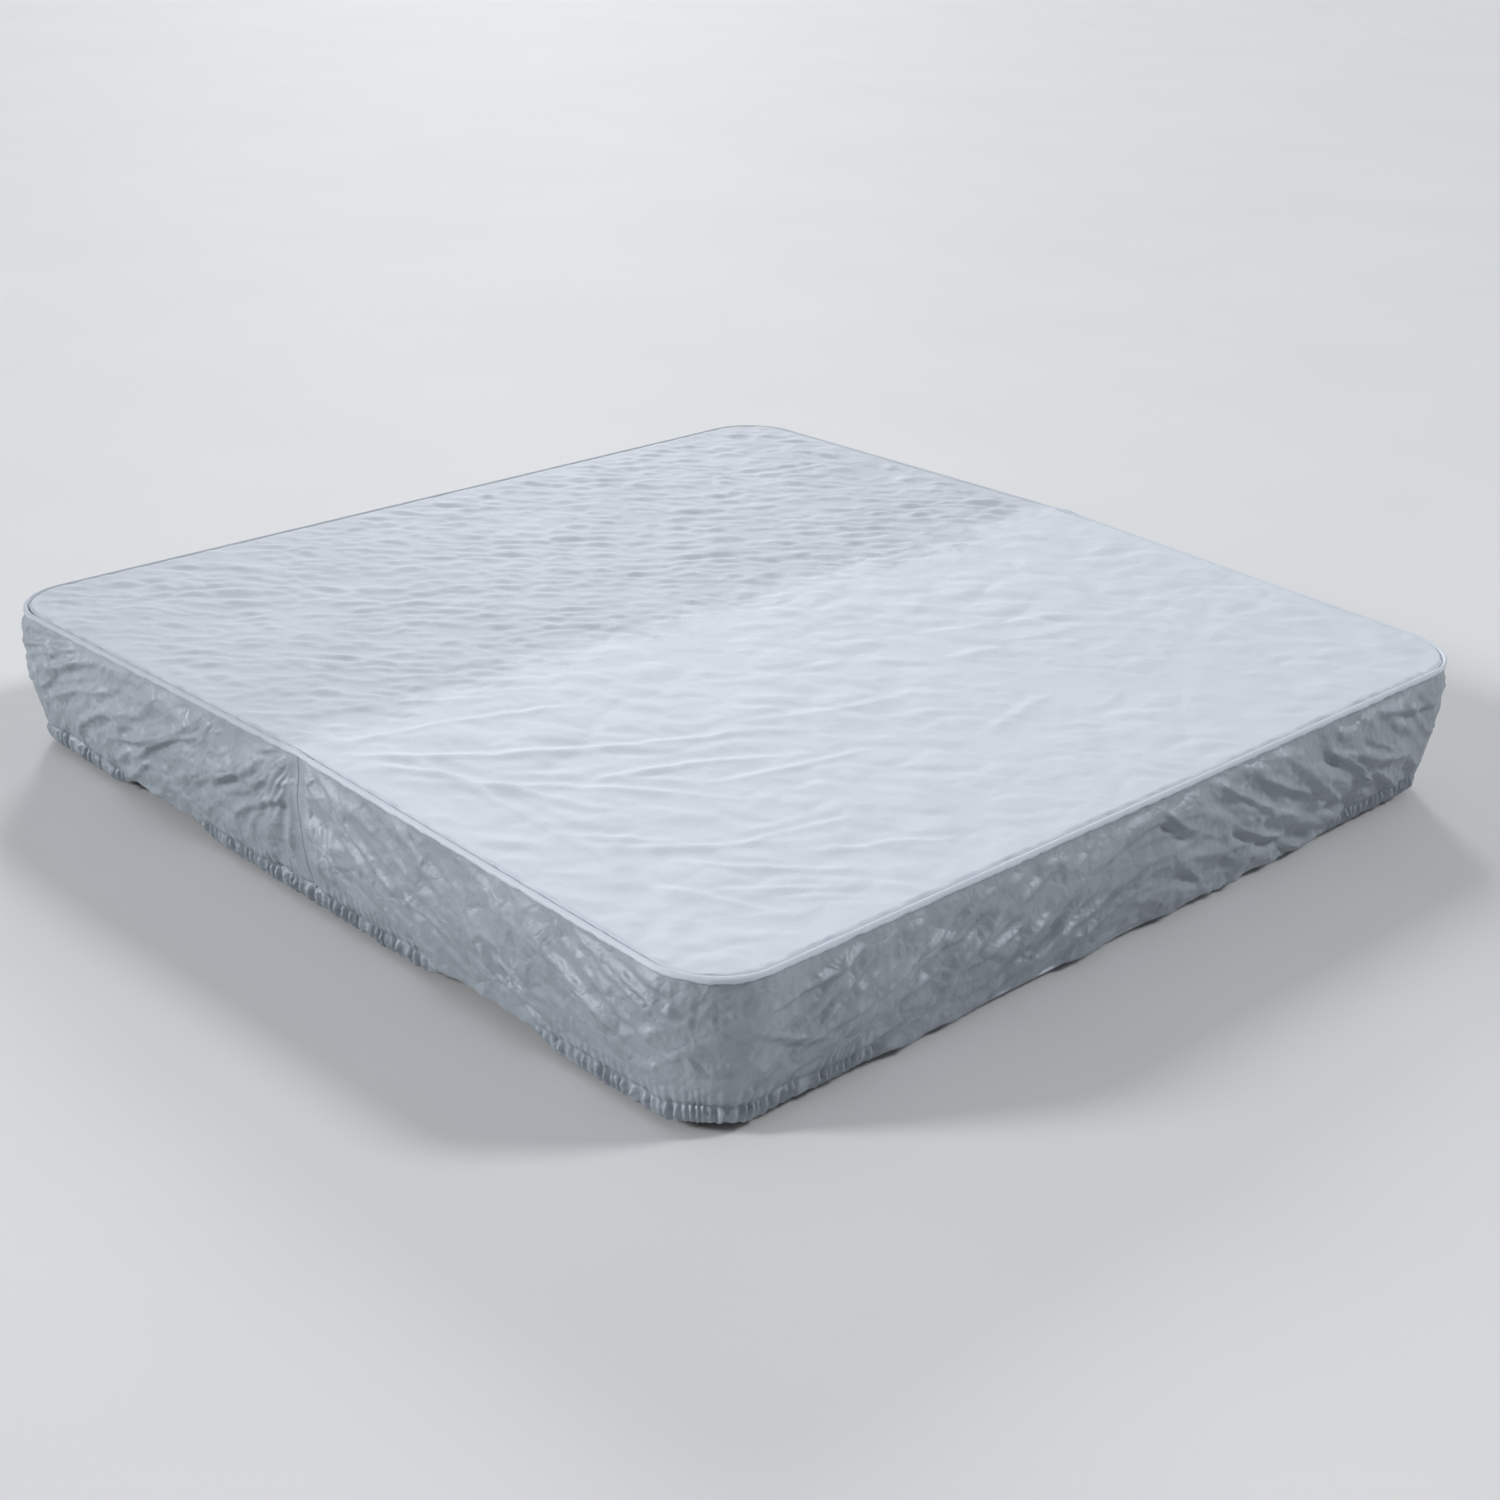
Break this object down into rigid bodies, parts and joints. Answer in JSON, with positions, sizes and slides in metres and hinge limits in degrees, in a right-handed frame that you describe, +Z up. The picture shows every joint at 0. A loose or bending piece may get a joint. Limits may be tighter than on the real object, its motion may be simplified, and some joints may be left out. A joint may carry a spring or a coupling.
{
  "type": "folding spa cover",
  "caption": "Square spa cover: an insulated lid in two tapered halves that fold along the middle, under a fitted silver fabric cap with an elastic hem.",
  "frame": {"origin": "middle of the footprint at floor level, straight below the middle of the fold", "axes": "+X along the fold, +Y towards the rear half, +Z up; the front half lies at -Y and turns about the fold"},
  "size_m": [2.148, 2.122, 0.328],
  "materials": {
    "cap": "thin silver-coated woven polyester, soft metallic sheen, finely wrinkled",
    "vinyl": "marine vinyl with a fine leather grain",
    "lining": "woven scrim underside, matt",
    "foam": "expanded polystyrene with a beaded surface",
    "film": "thin heat-sealed vapour film, slightly cloudy",
    "steel": "galvanised sheet steel",
    "zip": "woven zip tape with a moulded chain",
    "slider": "die-cast zip slider",
    "buckle": "moulded black plastic, satin",
    "webbing": "flat black webbing",
    "elastic": "ribbed covered elastic"
  },
  "bodies": {
    "rear_half": {"rear_foam_core": "foam", "rear_vapour_wrap": "film", "rear_steel_channel": "steel", "rear_casing_top": "vinyl", "rear_casing_base": "lining", "rear_casing_boxing": "vinyl", "rear_zip_panel": "vinyl", "rear_skirt_flap": "vinyl", "rear_fold_web": "vinyl", "rear_zipper": "zip", "rear_left_handle": "webbing", "rear_right_handle": "webbing", "rear_cap_top": "cap", "rear_cap_skirt": "cap", "rear_cap_side_left": "cap", "rear_cap_side_right": "cap", "rear_cap_corner_left": "cap", "rear_cap_corner_right": "cap", "rear_corner_elastic_left": "elastic", "rear_corner_elastic_right": "elastic", "rear_fold_elastic_left": "elastic", "rear_fold_elastic_right": "elastic", "fold_seal_core": "foam", "fold_seal_sleeve": "vinyl"},
    "front_half": {"front_foam_core": "foam", "front_vapour_wrap": "film", "front_steel_channel": "steel", "front_casing_top": "vinyl", "front_casing_base": "lining", "front_casing_boxing": "vinyl", "front_zip_panel": "vinyl", "front_skirt_flap": "vinyl", "front_fold_web": "vinyl", "front_zipper": "zip", "front_left_handle": "webbing", "front_right_handle": "webbing", "front_cap_top": "cap", "front_cap_skirt": "cap", "front_cap_side_left": "cap", "front_cap_side_right": "cap", "front_cap_corner_left": "cap", "front_cap_corner_right": "cap", "front_corner_elastic_left": "elastic", "front_corner_elastic_right": "elastic", "front_fold_elastic_left": "elastic", "front_fold_elastic_right": "elastic"},
    "rear_zip_slider": {"rear_zipper_slider": "slider"},
    "rear_left_strap": {"rear_left_strap": "webbing"},
    "rear_left_buckle": {"rear_left_buckle": "buckle"},
    "rear_right_strap": {"rear_right_strap": "webbing"},
    "rear_right_buckle": {"rear_right_buckle": "buckle"},
    "front_zip_slider": {"front_zipper_slider": "slider"},
    "front_left_strap": {"front_left_strap": "webbing"},
    "front_left_buckle": {"front_left_buckle": "buckle"},
    "front_right_strap": {"front_right_strap": "webbing"},
    "front_right_buckle": {"front_right_buckle": "buckle"}
  },
  "joints": [
    {"name": "fold", "type": "hinge", "parent": "rear_half", "child": "front_half", "pos_m": [0, 0, 0.328], "axis": [-1, 0, 0], "range_deg": [0, 179.5]},
    {"name": "rear_zip", "type": "slide", "parent": "rear_half", "child": "rear_zip_slider", "axis": [-1, 0, 0], "range_m": [0, 1.968]},
    {"name": "rear_left_strap_swing", "type": "hinge", "parent": "rear_half", "child": "rear_left_strap", "pos_m": [-0.7, 0.992, 0.2172], "axis": [-1, 0, 0], "range_deg": [-5, 60]},
    {"name": "rear_left_buckle_tilt", "type": "hinge", "parent": "rear_left_strap", "child": "rear_left_buckle", "pos_m": [-0.7, 0.992, 0.1322], "axis": [-1, 0, 0], "range_deg": [-15, 35]},
    {"name": "rear_right_strap_swing", "type": "hinge", "parent": "rear_half", "child": "rear_right_strap", "pos_m": [0.7, 0.992, 0.2172], "axis": [-1, 0, 0], "range_deg": [-5, 60]},
    {"name": "rear_right_buckle_tilt", "type": "hinge", "parent": "rear_right_strap", "child": "rear_right_buckle", "pos_m": [0.7, 0.992, 0.1322], "axis": [-1, 0, 0], "range_deg": [-15, 35]},
    {"name": "front_zip", "type": "slide", "parent": "front_half", "child": "front_zip_slider", "axis": [-1, 0, 0], "range_m": [0, 1.968]},
    {"name": "front_left_strap_swing", "type": "hinge", "parent": "front_half", "child": "front_left_strap", "pos_m": [-0.7, -0.992, 0.2172], "axis": [1, 0, 0], "range_deg": [-5, 60]},
    {"name": "front_left_buckle_tilt", "type": "hinge", "parent": "front_left_strap", "child": "front_left_buckle", "pos_m": [-0.7, -0.992, 0.1322], "axis": [1, 0, 0], "range_deg": [-15, 35]},
    {"name": "front_right_strap_swing", "type": "hinge", "parent": "front_half", "child": "front_right_strap", "pos_m": [0.7, -0.992, 0.2172], "axis": [1, 0, 0], "range_deg": [-5, 60]},
    {"name": "front_right_buckle_tilt", "type": "hinge", "parent": "front_right_strap", "child": "front_right_buckle", "pos_m": [0.7, -0.992, 0.1322], "axis": [1, 0, 0], "range_deg": [-15, 35]}
  ]
}
